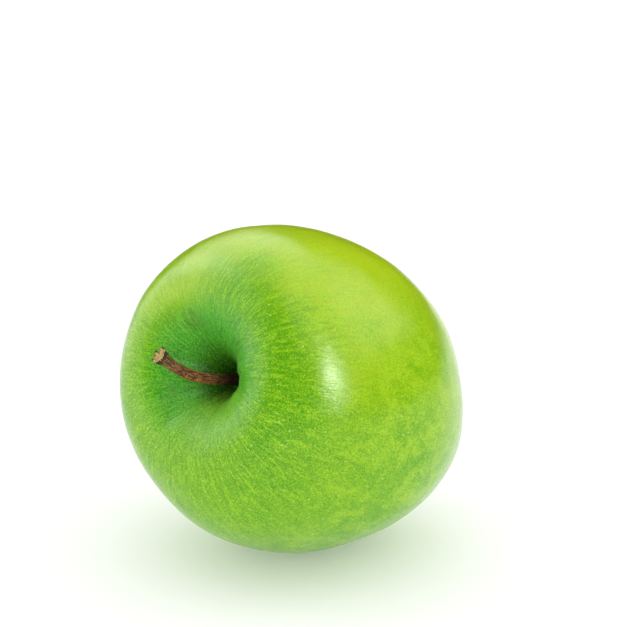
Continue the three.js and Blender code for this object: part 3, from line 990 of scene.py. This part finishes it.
def make_style():
    """The withered stub of the styles grown together, which part at the tip."""
    count, sides = ((50, 50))
    path, along = smooth_curve(
        [basin_point(0, 0, GAP), basin_point(0.05, 1.0, GAP + 0.5 * STYLE_LENGTH),
         basin_point(0.10, 1.6, GAP + STYLE_LENGTH)], count)
    share = (along / along[-1])[:, None]
    angle = angles(sides)
    parting = STYLE_PARTING * smoothstep(0.25, 1.0, share) * np.cos(STYLE_COUNT * angle)[None, :]
    radius = STYLE_RADIUS * (1 - STYLE_TAPER * share) * (1 + STYLE_SWELL + parting)
    radius = radius * closing(share, part=0.10, least=0.03)
    rings = tube_points(path, np.array([1.0, 0, 0]), radius, radius)
    unevenness = STYLE_RELIEF * field(rings, 0.4, 6.6)
    rings = rings + unevenness[..., None] * np.array([0.7, 0.7, 0.2])
    style = shells_object("dried_style_remains", [place(rings, SHIFT)])
    store_vector(style.data, "stub_place", [around_and_along(share[:, 0], angle)])
    return style


def style_material():
    s = Shader("dried_style")
    stub = s.attribute("stub_place")
    along = s.split(stub)["Z"]
    fibres = s.noise(s.stretch(stub, (4.0, 4.0, 2.5)), detail=4.0, roughness=0.7)
    colour = s.blend(s.fade(fibres, 0.36, 0.64), STYLE_DARK, STYLE_PALE)
    colour = s.cover(colour, STYLE_TIP, s.fade(along, 0.6, 1.0), 0.6)
    return s.finish({
        "Base Color": colour, "Roughness": s.fade(fibres, 0.3, 0.7, 0.68, 0.88),
        "Specular IOR Level": 0.25, "Normal": s.bump(fibres, 0.15 * MM, 0.8)})


# ---- Assembly -----------------------------------------------------------------------------

def give(piece, material, node):
    piece.data.materials.append(material)
    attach(piece, "root")
    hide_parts(node)


give(make_fruit(), skin_material(), "fruit")
give(make_stem(), stem_material(), "stem")
dry_leaf, dry_thread = sepal_material(), stamen_material()
for number in range(SEPAL_COUNT):
    give(make_sepal(number), dry_leaf, f"sepal_{number + 1}")
for number in range(STAMEN_COUNT):
    give(make_stamen(number), dry_thread, f"stamen_{number + 1:02d}")
give(make_style(), style_material(), "style_remains")


# ---- Floor, light and camera. Distances here are in metres --------------------------------

FLOOR_REACH = 6.0
FLOOR_GREY = 0.80
FLOOR_GLOW = 0.23
# Panels that fade out towards their edges are several, one inside the other
NESTED_SHARES = (0.6, 0.85, 1.1, 1.35)
NESTED_DISTANCE = 1.0
# The world's brightness near the horizon and overhead, and the heights between which it fades
HORIZON_BRIGHTNESS = 1.03
OVERHEAD_BRIGHTNESS = 0.98
FADE_FROM = 0.10
FADE_TO = 0.60
EXPOSURE = 0.04


def direction(azimuth, elevation):
    """Towards something seen from the fruit. Azimuth 0 is the -Y side, and 90 degrees the +X side."""
    return Vector((
        math.sin(azimuth) * math.cos(elevation), -math.cos(azimuth) * math.cos(elevation),
        math.sin(elevation)))


def make_floor():
    """Plain and nearly white. It glows a little, which keeps the shadow pale."""
    mesh = bpy.data.meshes.new("floor")
    corners = [
        (x * FLOOR_REACH, y * FLOOR_REACH, 0) for x, y in ((-1, -1), (1, -1), (1, 1), (-1, 1))]
    mesh.from_pydata(corners, [], [(0, 1, 2, 3)])
    floor = bpy.data.objects.new("floor", mesh)
    link(floor)
    s = Shader("floor_white")
    mesh.materials.append(s.finish({
        "Base Color": (FLOOR_GREY, FLOOR_GREY, FLOOR_GREY, 1), "Roughness": 0.9,
        "Specular IOR Level": 0.1, "Emission Color": (1, 1, 1, 1),
        "Emission Strength": FLOOR_GLOW}))


def add_softbox(name, azimuth, elevation, distance, width, height, brightness, lights=True):
    """A panel that faces the fruit. With lights=False it only shows as a reflection."""
    light = bpy.data.lights.new(name, "AREA")
    light.shape = "RECTANGLE"
    light.size, light.size_y = width, height
    light.energy = brightness * math.pi * width * height
    lamp = bpy.data.objects.new(name, light)
    towards = direction(math.radians(azimuth), math.radians(elevation))
    lamp.location = FRUIT_MIDDLE + towards * distance
    lamp.rotation_mode = "QUATERNION"
    lamp.rotation_quaternion = towards.to_track_quat("Z", "Y")
    lamp.visible_diffuse = lights
    link(lamp)


def add_soft_edged(name, azimuth, elevation, width, height, brightness):
    """A panel that only shows as a reflection and fades out towards its edges."""
    for number, share in enumerate(NESTED_SHARES):
        add_softbox(f"{name}_{number}", azimuth, elevation, NESTED_DISTANCE, width * share,
                    height * share, brightness / len(NESTED_SHARES), lights=False)


def make_world():
    """White all round, and a little dimmer overhead. It lights, but reflections don't show it."""
    world = bpy.data.worlds.new("studio")
    world.use_nodes = True
    tree = world.node_tree
    background = tree.nodes["Background"]
    place_node = tree.nodes.new("ShaderNodeTexCoord")
    split = tree.nodes.new("ShaderNodeSeparateXYZ")
    fade = tree.nodes.new("ShaderNodeMapRange")
    tree.links.new(place_node.outputs["Generated"], split.inputs[0])
    tree.links.new(split.outputs["Z"], fade.inputs["Value"])
    tree.links.new(fade.outputs["Result"], background.inputs["Strength"])
    fade.inputs["From Min"].default_value = FADE_FROM
    fade.inputs["From Max"].default_value = FADE_TO
    fade.inputs["To Min"].default_value = HORIZON_BRIGHTNESS
    fade.inputs["To Max"].default_value = OVERHEAD_BRIGHTNESS
    background.inputs["Color"].default_value = (1, 1, 1, 1)
    bpy.context.scene.world = world
    world.cycles_visibility.glossy = False


def make_camera():
    camera_data = bpy.data.cameras.new("camera")
    camera_data.lens = CAMERA_LENS
    camera_data.sensor_width = SENSOR_WIDTH
    camera_data.clip_start = CLIP_START
    camera = bpy.data.objects.new("camera", camera_data)
    back = direction(CAMERA_AZIMUTH, CAMERA_ELEVATION)
    camera.location = FRUIT_MIDDLE + back * CAMERA_DISTANCE
    straight = back.to_track_quat("Z", "Y").to_matrix().to_4x4()
    aim = Matrix.Rotation(-AIM_RIGHT, 4, "Y") @ Matrix.Rotation(AIM_UP, 4, "X")
    camera.rotation_mode = "QUATERNION"
    camera.rotation_quaternion = (straight @ aim).to_quaternion()
    link(camera)
    bpy.context.scene.camera = camera


make_floor()
make_world()
# Name, azimuth and elevation in degrees, distance, width, height and brightness
add_softbox("strip", 71, 22, 0.60, 0.075, 0.145, 40, lights=False)
add_softbox("strip_edge", 71, 22, 0.60, 0.12, 0.21, 7, lights=False)
add_softbox("overhead", 0, 84, 1.0, 0.8, 0.8, 0.4)
add_softbox("right_high", 132, 45, 1.0, 0.65, 0.65, 0.8)
# Name, azimuth and elevation in degrees, width, height and brightness
add_soft_edged("left_sheen", -60, 18, 1.00, 1.10, 6.8)
add_soft_edged("right_sheen", 116, 60, 1.50, 0.85, 4.4)
add_soft_edged("back_sheen", -102, 52, 0.90, 0.70, 6.5)
make_camera()

scene = bpy.context.scene
scene.view_settings.view_transform = "Standard"
scene.view_settings.exposure = EXPOSURE
